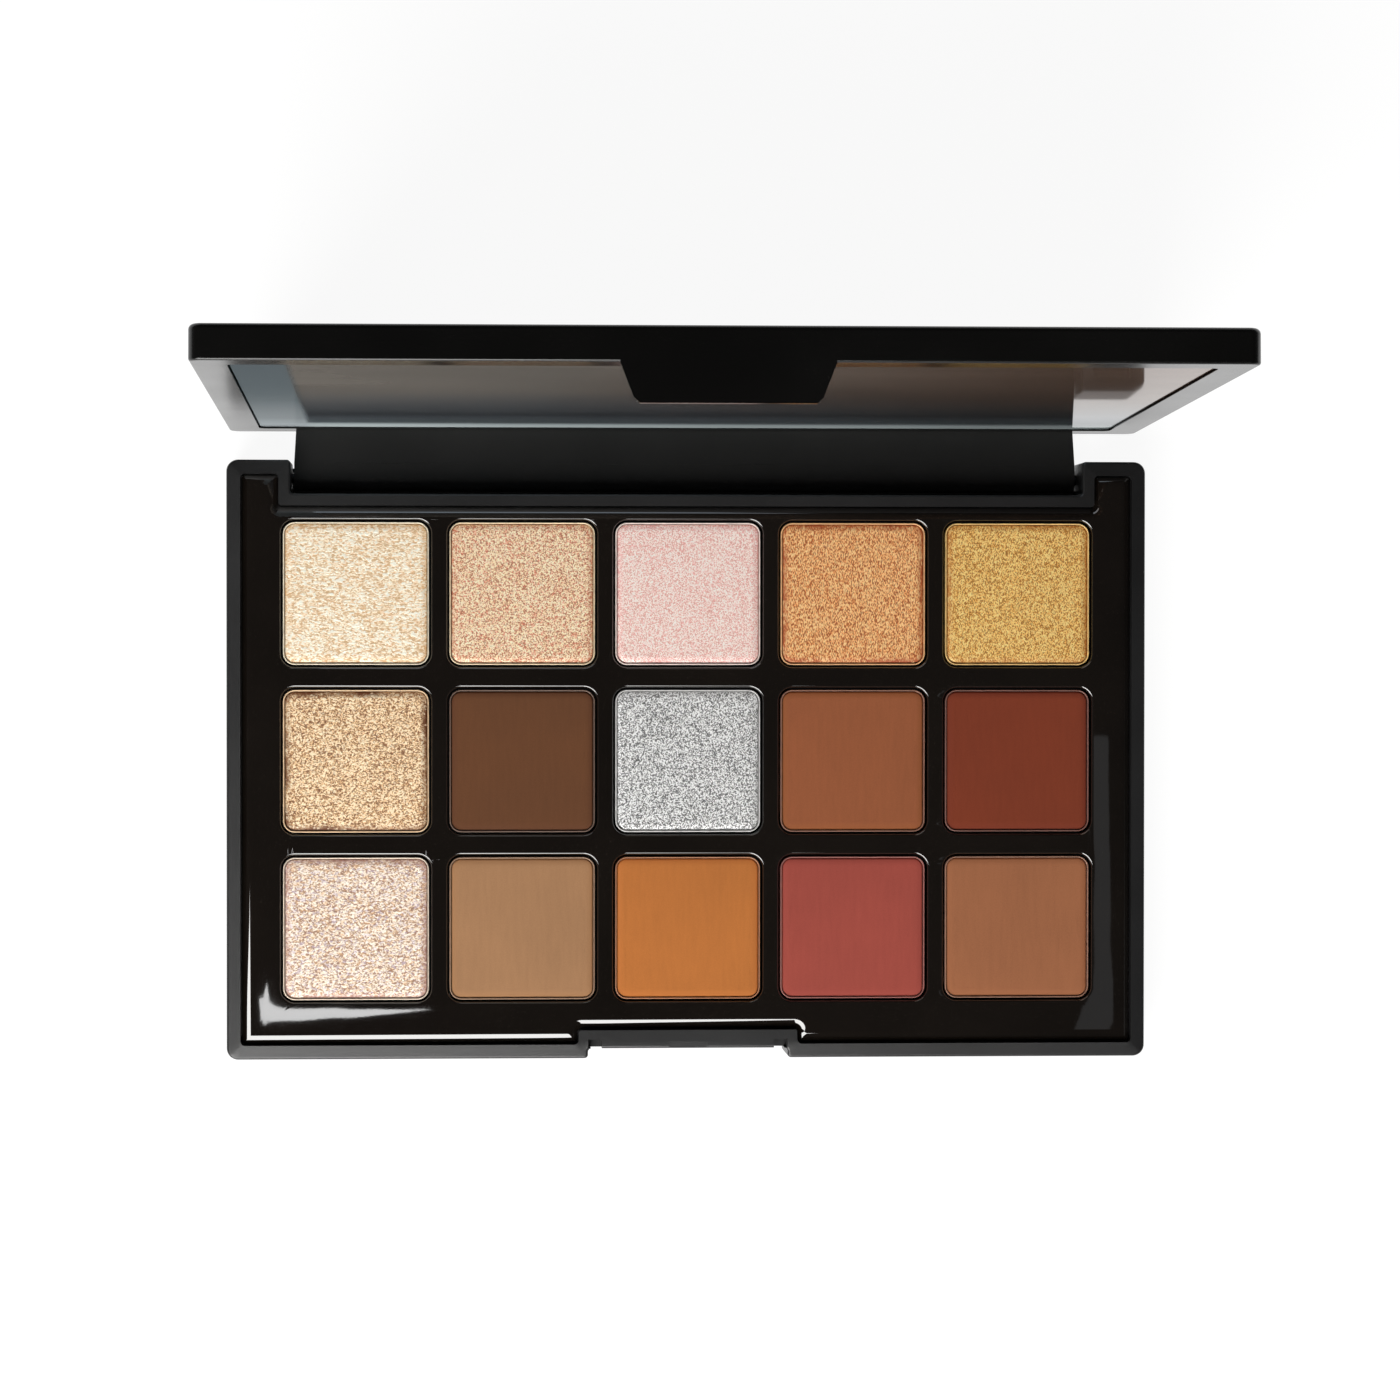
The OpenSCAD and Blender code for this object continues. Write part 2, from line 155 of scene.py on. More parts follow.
def newMaterial(name, **plain):
    # plain holds values that are the same all over, set on the shader's own sockets
    material = bpy.data.materials.new(name)
    material.use_nodes = True
    tree = material.node_tree
    shader = tree.nodes["Principled BSDF"]
    for label, value in plain.items():
        shader.inputs[label].default_value = value
    return material, tree, shader


def meshFrom(treeName, group, values):
    # runs a geometry node tree on an empty mesh and keeps the result as a plain mesh
    holder = bpy.data.objects.new(treeName, bpy.data.meshes.new(treeName))
    bpy.context.scene.collection.objects.link(holder)
    modifier = holder.modifiers.new("shape", "NODES")
    modifier.node_group = group
    for item in group.interface.items_tree:
        if item.item_type == "SOCKET" and item.in_out == "INPUT" and item.name in values:
            modifier[item.identifier] = values[item.name]
    graph = bpy.context.evaluated_depsgraph_get()
    mesh = bpy.data.meshes.new_from_object(holder.evaluated_get(graph), depsgraph=graph)
    bpy.data.objects.remove(holder)
    return mesh


def place(mesh, name, body, slot, *nodes):
    piece = bpy.data.objects.new(name, mesh)
    bpy.context.scene.collection.objects.link(piece)
    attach(piece, body)
    if nodes:
        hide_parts(*nodes)
    return piece


weldPlan = {"gap": 0.002 * millimetre, "sliver": 0.001 * millimetre}


def dressNode(node, name, body, slot, finishes, reshape=None, choose=None, sharpAngle=30):
    # a welded, smooth-shaded copy of a CAD node, with its flat faces kept flat
    shape = bmesh.new()
    shape.from_mesh(frame["nodes"][node].data)
    bmesh.ops.remove_doubles(shape, verts=shape.verts, dist=weldPlan["gap"])
    bmesh.ops.dissolve_degenerate(shape, edges=shape.edges, dist=weldPlan["sliver"])
    if reshape:
        for vertex in shape.verts:
            reshape(vertex.co)
    for face in shape.faces:
        face.smooth = True
        face.material_index = choose(face.calc_center_median()) if choose else 0
    for edge in shape.edges:
        edge.smooth = len(edge.link_faces) == 2 and edge.calc_face_angle(0) < math.radians(sharpAngle)
    mesh = bpy.data.meshes.new(name)
    shape.to_mesh(mesh)
    shape.free()
    for finish in finishes:
        mesh.materials.append(finish)
    draft = bpy.data.objects.new(name + "Draft", mesh)
    bpy.context.scene.collection.objects.link(draft)
    weighted = draft.modifiers.new("flatFaces", "WEIGHTED_NORMAL")
    weighted.keep_sharp = True
    weighted.weight = 100
    graph = bpy.context.evaluated_depsgraph_get()
    finished = bpy.data.meshes.new_from_object(draft.evaluated_get(graph), depsgraph=graph)
    bpy.data.objects.remove(draft)
    return place(finished, name, body, slot, node)


# camera, from above with the lid's edge near the top
# place, turn and lens are the result of a least-squares fit to edges read from the photo

cameraPlan = {
    "place": (-32.33 * millimetre, 14.17 * millimetre, 507.1 * millimetre),
    "turn": (-0.6914, -2.5772, 0.0251),   # degrees
    "lens": 93.78,
    "sensor": 36,
    "shift": 0.06,
    "clip": (0.01, 20),
}


def makeCamera(plan):
    data = bpy.data.cameras.new("studioCamera")
    camera = bpy.data.objects.new("studioCamera", data)
    bpy.context.scene.collection.objects.link(camera)
    data.sensor_width = plan["sensor"]
    data.lens = plan["lens"]
    data.shift_x = plan["shift"]
    data.clip_start, data.clip_end = plan["clip"]
    camera.location = plan["place"]
    camera.rotation_euler = [math.radians(angle) for angle in plan["turn"]]
    bpy.context.scene.camera = camera


makeCamera(cameraPlan)
print("camera ready")


# studio: white floor, dim surroundings, a large softbox at the front left and two small cards

studio = {
    "floorSize": 6,
    "floorColour": (0.86, 0.86, 0.85),
    "floorRough": 0.9,
    "floorDrop": 0.02 * millimetre,        # keeps the floor clear of the case's feet
    "glow": 0.85,                          # the floor as seen and mirrored: a glow,
    "glowShare": 0.84,                     # its share against real light,
    "lift": 0.21,                          # and a plain addition
    "overhead": 0.02,
    "horizon": 0.10,
    "horizonBand": (0.15, 0.55),
    "fill": 0.16,
    "softboxes": [
        # name, centre, aim, width, height, radiance, colour
        ("keySoftbox", (-0.150, -0.307, 0.317), (0, 0, 0.005), 0.37, 0.38, 8.2, (1, 0.99, 0.975)),
        ("rightCard", (0.2365, -0.082, 1.008), (0.2365, -0.082, 0), 0.014, 0.125, 0.17, (0.94, 0.97, 1)),
    ],
    # a small bright card high above the front left corner, corners in millimetres
    "cardHeight": 1008,
    "cardGlow": 5.6,
    "card": [(-114, -128), (-110, -127), (-108, -122), (-104, -128), (-41, -130), (-78, -135), (-109, -137),
             (-112, -139)],
}

white = (1, 1, 1, 1)


def makeFloor(plan):
    half = plan["floorSize"] / 2
    mesh = bpy.data.meshes.new("studioFloor")
    mesh.from_pydata([(-half, -half, 0), (half, -half, 0), (half, half, 0), (-half, half, 0)], [],
                     [(0, 1, 2, 3)])
    floor = bpy.data.objects.new("studioFloor", mesh)
    bpy.context.scene.collection.objects.link(floor)
    material, tree, shader = newMaterial("paleFloor", Roughness=plan["floorRough"])
    shader.inputs["Base Color"].default_value = (*plan["floorColour"], 1)
    shader.inputs["Specular IOR Level"].default_value = 0.0
    # seen and mirrored rays find it white, with a share of real light so that shadows stay
    rays = addNode(tree, "ShaderNodeLightPath").outputs
    seenBy = calc(tree, "MAXIMUM", rays["Is Camera Ray"],
                  calc(tree, "MAXIMUM", rays["Is Glossy Ray"], rays["Is Transmission Ray"]))
    glow = addNode(tree, "ShaderNodeEmission", {"Color": white, "Strength": plan["glow"]})
    shaded = addNode(tree, "ShaderNodeMixShader", {0: plan["glowShare"], 1: shader.outputs[0], 2: glow.outputs[0]})
    extra = addNode(tree, "ShaderNodeEmission", {"Color": white, "Strength": plan["lift"]})
    seen = addNode(tree, "ShaderNodeAddShader", {0: shaded.outputs[0], 1: extra.outputs[0]})
    choice = addNode(tree, "ShaderNodeMixShader", {0: seenBy, 1: shader.outputs[0], 2: seen.outputs[0]})
    tree.links.new(choice.outputs[0], tree.nodes["Material Output"].inputs["Surface"])
    mesh.materials.append(material)
    floor.location.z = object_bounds()[0].z - plan["floorDrop"]
    floor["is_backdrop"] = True


def makeWorld(plan):
    # dark overhead so that gloss stays black, a little paler towards the horizon
    world = bpy.data.worlds.new("studioWorld")
    bpy.context.scene.world = world
    world.use_nodes = True
    tree = world.node_tree
    rays = addNode(tree, "ShaderNodeLightPath").outputs
    heading = addNode(tree, "ShaderNodeSeparateXYZ", {0: addNode(tree, "ShaderNodeTexCoord").outputs["Generated"]})
    height = remap(tree, heading.outputs["Z"], *plan["horizonBand"], plan["horizon"], plan["overhead"])
    dim = addNode(tree, "ShaderNodeCombineColor", {0: height, 1: height, 2: height}).outputs[0]
    fill = plan["fill"]
    lit = mixColour(tree, rays["Is Diffuse Ray"], dim, (fill, fill, fill, 1))
    colour = mixColour(tree, rays["Is Camera Ray"], lit, white)
    tree.links.new(colour, tree.nodes["Background"].inputs["Color"])


def makeSoftbox(name, centre, aim, width, height, radiance, colour):
    data = bpy.data.lights.new(name, "AREA")
    data.shape = "RECTANGLE"
    data.size, data.size_y = width, height
    data.energy = radiance * math.pi * width * height
    data.color = colour
    lamp = bpy.data.objects.new(name, data)
    bpy.context.scene.collection.objects.link(lamp)
    lamp.location = centre
    lamp.rotation_euler = (Vector(aim) - Vector(centre)).to_track_quat("-Z", "Y").to_euler()
    lamp.visible_camera = False


def makeCard(plan):
    mesh = bpy.data.meshes.new("glowCard")
    corners = [(x * millimetre, y * millimetre, plan["cardHeight"] * millimetre) for x, y in plan["card"]]
    mesh.from_pydata(corners, [], [list(range(len(corners)))])
    card = bpy.data.objects.new("glowCard", mesh)
    bpy.context.scene.collection.objects.link(card)
    material, tree, shader = newMaterial("cardGlow", **{"Base Color": (0, 0, 0, 1), "Emission Color": white,
                                                        "Emission Strength": plan["cardGlow"]})
    mesh.materials.append(material)
    card.visible_camera = False
    card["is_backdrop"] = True


makeFloor(studio)
makeWorld(studio)
makeCard(studio)
for softbox in studio["softboxes"]:
    makeSoftbox(*softbox)
bpy.context.scene.view_settings.view_transform = "Standard"
print("studio ready")


# shader groups shared by several finishes

patchShare = 0.45   # patches against waves, in scale


def makeSkinGroup():
    # slow waves and fine grain of moulded plastic
    tree, given, out = newGroup(
        "mouldedSkin",
        [("Place", "NodeSocketVector", None), ("Wave Size", "NodeSocketFloat", 6.0),
         ("Grain Size", "NodeSocketFloat", 0.15), ("Grain Share", "NodeSocketFloat", 0.3)],
        [("Height", "NodeSocketFloat"), ("Patches", "NodeSocketFloat")])
    waveScale = calc(tree, "DIVIDE", perMillimetre, given["Wave Size"])
    grainScale = calc(tree, "DIVIDE", perMillimetre, given["Grain Size"])
    waves = addNode(tree, "ShaderNodeTexNoise", {"Vector": given["Place"], "Scale": waveScale, "Detail": 1.0})
    grain = addNode(tree, "ShaderNodeTexNoise", {"Vector": given["Place"], "Scale": grainScale, "Detail": 2.0})
    share = calc(tree, "MULTIPLY", grain.outputs["Fac"], given["Grain Share"])
    tree.links.new(calc(tree, "ADD", waves.outputs["Fac"], share), out.inputs["Height"])
    patchScale = calc(tree, "MULTIPLY", waveScale, patchShare)
    patches = addNode(tree, "ShaderNodeTexNoise", {"Vector": given["Place"], "Scale": patchScale, "Detail": 4.0})
    tree.links.new(patches.outputs["Fac"], out.inputs["Patches"])
    return tree


dustPlan = {"cloudScale": 90.0, "level": 0.74, "sway": 0.12, "soft": 0.05}


def makeDustGroup():
    # sparse pale specks of powder dust
    tree, given, out = newGroup(
        "powderDust",
        [("Place", "NodeSocketVector", None), ("Speck Size", "NodeSocketFloat", 0.12),
         ("Amount", "NodeSocketFloat", 0.3)],
        [("Mask", "NodeSocketFloat")])
    scale = calc(tree, "DIVIDE", perMillimetre, given["Speck Size"])
    specks = addNode(tree, "ShaderNodeTexNoise", {"Vector": given["Place"], "Scale": scale, "Detail": 3.0})
    clouds = addNode(tree, "ShaderNodeTexNoise",
                     {"Vector": given["Place"], "Scale": dustPlan["cloudScale"], "Detail": 2.0})
    edge = calc(tree, "SUBTRACT", dustPlan["level"], calc(tree, "MULTIPLY", clouds.outputs["Fac"], dustPlan["sway"]))
    specked = remap(tree, specks.outputs["Fac"], edge, calc(tree, "ADD", edge, dustPlan["soft"]))
    tree.links.new(calc(tree, "MULTIPLY", specked, given["Amount"]), out.inputs["Mask"])
    return tree


flakePlan = {
    "swayScale": 0.3, "sway": 2.2,
    "foldScale": 0.5, "foldBend": 0.5, "ridge": 0.09,
    "cloudScale": 0.09,
    "grain": 8.5, "grainDrop": 5.0,        # grain gives way to foil as a powder is crumpled
    "foil": 1.1, "foilLevel": 0.62, "foilHeight": 0.6,
    "tintScale": 0.62, "tintSpan": (0.36, 0.64),
    "cellScale": 0.8, "paintedGlintSpan": (0.90, 0.93),
}


def makeFlakeGroup():
    # grain and crumpled foil of shimmer powders, with painted shade in the foil's cracks and scattered cells for
    # painted glints; Tone runs about evenly from 0 to 1
    tree, given, out = newGroup(
        "shimmerFlakes",
        [("Place", "NodeSocketVector", None), ("Flake Size", "NodeSocketFloat", 0.35),
         ("Stretch", "NodeSocketVector", (1.0, 1.0, 1.0)), ("Seed", "NodeSocketFloat", 0.0),
         ("Crumple", "NodeSocketFloat", 0.5), ("Clouds", "NodeSocketFloat", 0.5)],
        [("Tone", "NodeSocketFloat"), ("Tint", "NodeSocketFloat"), ("Painted Glint", "NodeSocketFloat"),
         ("Height", "NodeSocketFloat")])

    def noise(vector, scale, offset, detail, distortion=0.0):
        # a 4D noise whose fourth coordinate is the seed
        shift = calc(tree, "ADD", given["Seed"], offset)
        return addNode(tree, "ShaderNodeTexNoise",
                       {"Vector": vector, "W": shift, "Scale": scale, "Detail": detail, "Distortion": distortion},
                       noise_dimensions="4D").outputs

    scale = calc(tree, "DIVIDE", perMillimetre, given["Flake Size"])
    level = vectorCalc(tree, "SCALE", given["Place"], scale=scale)
    spot = vectorCalc(tree, "MULTIPLY", level, given["Stretch"])
    sway = vectorCalc(tree, "SUBTRACT", noise(level, flakePlan["swayScale"], 3.0, 1.0)["Color"], (0.5, 0.5, 0.5))
    reach = calc(tree, "MULTIPLY", given["Crumple"], flakePlan["sway"])
    bent = vectorCalc(tree, "ADD", spot, vectorCalc(tree, "SCALE", sway, scale=reach))
    grain = calc(tree, "SUBTRACT", noise(bent, 1.0, 0.0, 1.0)["Fac"], 0.5)
    fold = noise(bent, flakePlan["foldScale"], 5.0, 2.0, flakePlan["foldBend"])["Fac"]
    ridge = calc(tree, "ABSOLUTE", calc(tree, "SUBTRACT", fold, 0.5))
    plates = remap(tree, ridge, 0.0, flakePlan["ridge"])
    clouds = calc(tree, "SUBTRACT", noise(level, flakePlan["cloudScale"], 7.0, 2.0)["Fac"], 0.5)
    grainShare = calc(tree, "SUBTRACT", flakePlan["grain"],
                      calc(tree, "MULTIPLY", given["Crumple"], flakePlan["grainDrop"]))
    # foil plates lighten the tone and their cracks darken it, painted shade in the creases; the same pattern also
    # shapes the bump through Height
    foilShare = calc(tree, "MULTIPLY", calc(tree, "SUBTRACT", plates, flakePlan["foilLevel"]),
                     calc(tree, "MULTIPLY", given["Crumple"], flakePlan["foil"]))
    tone = calc(tree, "ADD", calc(tree, "MULTIPLY", grain, grainShare), foilShare)
    tone = calc(tree, "ADD", calc(tree, "ADD", tone, calc(tree, "MULTIPLY", clouds, given["Clouds"])), 0.5)
    tree.links.new(tone, out.inputs["Tone"])
    tint = noise(bent, flakePlan["tintScale"], 9.0, 1.0)["Fac"]
    tree.links.new(remap(tree, tint, *flakePlan["tintSpan"]), out.inputs["Tint"])
    # scattered cells for painted glints
    cell = addNode(tree, "ShaderNodeTexVoronoi",
                   {"Vector": spot, "W": given["Seed"], "Scale": flakePlan["cellScale"]}, voronoi_dimensions="4D")
    chance = addNode(tree, "ShaderNodeSeparateColor", {"Color": cell.outputs["Color"]})
    tree.links.new(remap(tree, chance.outputs[1], *flakePlan["paintedGlintSpan"]), out.inputs["Painted Glint"])
    foil = calc(tree, "MULTIPLY", foilShare, flakePlan["foilHeight"])
    tree.links.new(calc(tree, "ADD", grain, foil), out.inputs["Height"])
    return tree


skinGroup = makeSkinGroup()
dustGroup = makeDustGroup()
flakeGroup = makeFlakeGroup()


# plastics, metal and glass

plastics = {
    "caseSatin": {"colour": (0.0085, 0.0085, 0.0088), "rough": (0.325, 0.355), "bump": 0.02, "wave": 9.0,
                  "grain": 0.12, "share": 0.5, "dust": 0.04, "gloss": 0.62, "bend": 1.5},
    "trayGloss": {"colour": (0.0050, 0.0036, 0.0027), "rough": (0.012, 0.022), "bump": 0.004, "wave": 7.0,
                  "grain": 0.3, "share": 0.02, "dust": 0.05, "gloss": 1.0, "bend": 1.6},
    "lidGloss": {"colour": (0.0030, 0.0029, 0.0027), "rough": (0.20, 0.25), "bump": 0.012, "wave": 10.0,
                 "grain": 0.14, "share": 0.25, "dust": 0.02, "gloss": 0.5, "bend": 1.5},
    "hingeSatin": {"colour": (0.0060, 0.0056, 0.0052), "rough": (0.36, 0.40), "bump": 0.015, "wave": 10.0,
                   "grain": 0.14, "share": 0.3, "dust": 0.02, "gloss": 0.5, "bend": 1.5},
}


wearPlan = {"paler": 1.5, "speck": 0.14, "dust": (0.62, 0.52, 0.44, 1), "dustRough": 0.5}


def makePlastic(name, look):
    material, tree, shader = newMaterial(name, **{"Specular IOR Level": look["gloss"], "IOR": look["bend"]})
    spot = objectPlace(tree)
    skin = useGroup(tree, skinGroup, **{"Place": spot, "Wave Size": look["wave"], "Grain Size": look["grain"],
                                        "Grain Share": look["share"]})
    dust = useGroup(tree, dustGroup, **{"Place": spot, "Speck Size": wearPlan["speck"], "Amount": look["dust"]})
    deep = look["colour"]
    worn = tuple(wearPlan["paler"] * c for c in deep)
    body = mixColour(tree, remap(tree, skin["Patches"], 0.35, 0.7), (*deep, 1), (*worn, 1))
    colour = mixColour(tree, dust["Mask"], body, wearPlan["dust"])
    tree.links.new(colour, shader.inputs["Base Color"])
    rough = remap(tree, skin["Patches"], 0.3, 0.7, *look["rough"])
    dusted = calc(tree, "ADD", rough, calc(tree, "MULTIPLY", dust["Mask"], wearPlan["dustRough"]), clamp=True)
    tree.links.new(dusted, shader.inputs["Roughness"])
    bump = addNode(tree, "ShaderNodeBump",
                   {"Strength": 1.0, "Distance": look["bump"] * millimetre, "Height": skin["Height"]})
    tree.links.new(bump.outputs[0], shader.inputs["Normal"])
    return material


tinLook = {"dark": paint("7d7873"), "pale": paint("a09b95"), "grain": 1800.0, "cover": (0.62, 0.82),
           "rough": (0.40, 0.55), "bump": 0.01 * millimetre}


def makePanMetal():
    material, tree, shader = newMaterial("dustyTin")
    spot = objectPlace(tree)
    brushed = addNode(tree, "ShaderNodeTexNoise", {"Vector": spot, "Scale": tinLook["grain"], "Detail": 3.0})
    dust = addNode(tree, "ShaderNodeAttribute", attribute_name="dustTint")
    tin = ramp(tree, brushed.outputs["Fac"], [(0.3, tinLook["dark"]), (0.7, tinLook["pale"])])
    cover = remap(tree, brushed.outputs["Fac"], 0.35, 0.65, *tinLook["cover"])
    tree.links.new(mixColour(tree, cover, tin, dust.outputs["Color"]), shader.inputs["Base Color"])
    tree.links.new(calc(tree, "SUBTRACT", 1.0, cover), shader.inputs["Metallic"])
    tree.links.new(remap(tree, brushed.outputs["Fac"], 0.3, 0.7, *tinLook["rough"]), shader.inputs["Roughness"])
    bump = addNode(tree, "ShaderNodeBump",
                   {"Strength": 1.0, "Distance": tinLook["bump"], "Height": brushed.outputs["Fac"]})
    tree.links.new(bump.outputs[0], shader.inputs["Normal"])
    return material


mirrorLook = {
    # the silver's colour by height is a painted reflection, pale at the lower edge
    "silverAndReflection": [(0.0, "a9b4b5"), (0.05, "99a3a5"), (0.09, "5a6469"), (0.20, "616a73"), (0.6, "696560")],
    "warmReflection": "6c584c",                # a painted warm reflection towards the right end
    # a bluish painted reflection on the film at the left end, with powder dust
    "endDustAndReflection": [(0.0, "a3abaf"), (0.15, "757c80"), (0.45, "50585c"), (1.0, "474e52")],
    "base": 4.6 * millimetre,              # height of the glass's lower edge
    "top": 78 * millimetre,
    "smear": (14.0, 60.0, 60.0),
    "uneven": (0.85, 1.15),
    "fading": (-0.05, 0.04, 1.14, 0.42),   # the film thins from left to right
    "endEdge": (-0.0522, -0.0512),
    "endCover": 0.94,
    "warmSpan": (-0.02, 0.05),
    "warmHeight": (0.15, 0.5),
    "rough": (0.03, 0.08),
    # the film's share by height: powder dust and painted reflection
    "dustAndReflectionFilm": [(0.0, 1.0), (0.05, 0.95), (0.085, 0.40), (0.22, 0.10), (0.40, 0.30), (0.75, 0.58), (1.0, 0.66)],
}


def makeMirror():
    # silver whose colour carries a painted reflection, pale at the lower edge and warm towards the right end, under a
    # thin film, thickest along the lower edge, near the top and at one end, where it takes a bluish painted
    # reflection; the film stands for powder dust and for painted reflections of things outside the picture, and stays
    # put in other views
    material, tree, shader = newMaterial("mirrorDustAndReflection", **{"Specular IOR Level": 0.0})
    spot = objectPlace(tree)
    parts = addNode(tree, "ShaderNodeSeparateXYZ", {0: spot}).outputs
    height = remap(tree, parts["Z"], mirrorLook["base"], mirrorLook["top"])
    smear = addNode(tree, "ShaderNodeTexNoise",
                    {"Vector": vectorCalc(tree, "MULTIPLY", spot, mirrorLook["smear"]), "Scale": 1.0, "Detail": 3.0})
    uneven = remap(tree, smear.outputs["Fac"], 0.3, 0.7, *mirrorLook["uneven"])
    fading = remap(tree, parts["X"], *mirrorLook["fading"])
    # the film by height stands for powder dust and painted reflection
    dustAndReflectionByHeight = ramp(tree, height, [(level, (amount, amount, amount)) for level, amount in mirrorLook["dustAndReflectionFilm"]])
    dustAndReflectionFilm = calc(tree, "MULTIPLY", calc(tree, "MULTIPLY", dustAndReflectionByHeight, uneven), fading, clamp=True)
    atEnd = remap(tree, parts["X"], *mirrorLook["endEdge"], 1.0, 0.0)
    dustAndReflectionFilm = calc(tree, "MAXIMUM", dustAndReflectionFilm, calc(tree, "MULTIPLY", atEnd, mirrorLook["endCover"]))
    # painted reflection in the silver's colour, by height and warm towards the right end
    silverAndReflection = ramp(tree, height, [(level, paint(tone)) for level, tone in mirrorLook["silverAndReflection"]])
    warmReflectionShare = calc(tree, "MULTIPLY", remap(tree, parts["X"], *mirrorLook["warmSpan"]),
                  remap(tree, height, *mirrorLook["warmHeight"]))
    silverAndReflection = mixColour(tree, warmReflectionShare, silverAndReflection, (*paint(mirrorLook["warmReflection"]), 1))
    # painted bluish reflection on the film at the left end
    ends = ramp(tree, height, [(level, paint(tone)) for level, tone in mirrorLook["endDustAndReflection"]])
    tree.links.new(mixColour(tree, atEnd, silverAndReflection, ends), shader.inputs["Base Color"])
    tree.links.new(calc(tree, "SUBTRACT", 1.0, dustAndReflectionFilm), shader.inputs["Metallic"])
    tree.links.new(remap(tree, smear.outputs["Fac"], 0.3, 0.7, *mirrorLook["rough"]), shader.inputs["Roughness"])
    return material


def makeSteel():
    material, tree, shader = newMaterial("pinSteel", Metallic=1.0)
    spot = objectPlace(tree)
    drawn = addNode(tree, "ShaderNodeTexNoise",
                    {"Vector": vectorCalc(tree, "MULTIPLY", spot, (300.0, 6000.0, 6000.0)), "Scale": 1.0,
                     "Detail": 2.0})
    steel = ramp(tree, drawn.outputs["Fac"], [(0.3, paint("232324")), (0.7, paint("3a3a3c"))])
    tree.links.new(steel, shader.inputs["Base Color"])
    tree.links.new(remap(tree, drawn.outputs["Fac"], 0.3, 0.7, 0.25, 0.4), shader.inputs["Roughness"])
    return material


def makeHidden(name, colour, grain):
    # glue and tape: pale, with a coarse soft grain
    material, tree, shader = newMaterial(name, Roughness=0.7)
    spot = objectPlace(tree)
    cells = addNode(tree, "ShaderNodeTexNoise", {"Vector": spot, "Scale": grain, "Detail": 3.0})
    dark = tuple(0.8 * c for c in colour)
    tree.links.new(ramp(tree, cells.outputs["Fac"], [(0.3, dark), (0.7, colour)]), shader.inputs["Base Color"])
    bump = addNode(tree, "ShaderNodeBump",
                   {"Strength": 0.6, "Distance": 0.05 * millimetre, "Height": cells.outputs["Fac"]})
    tree.links.new(bump.outputs[0], shader.inputs["Normal"])
    return material


# pressed powders

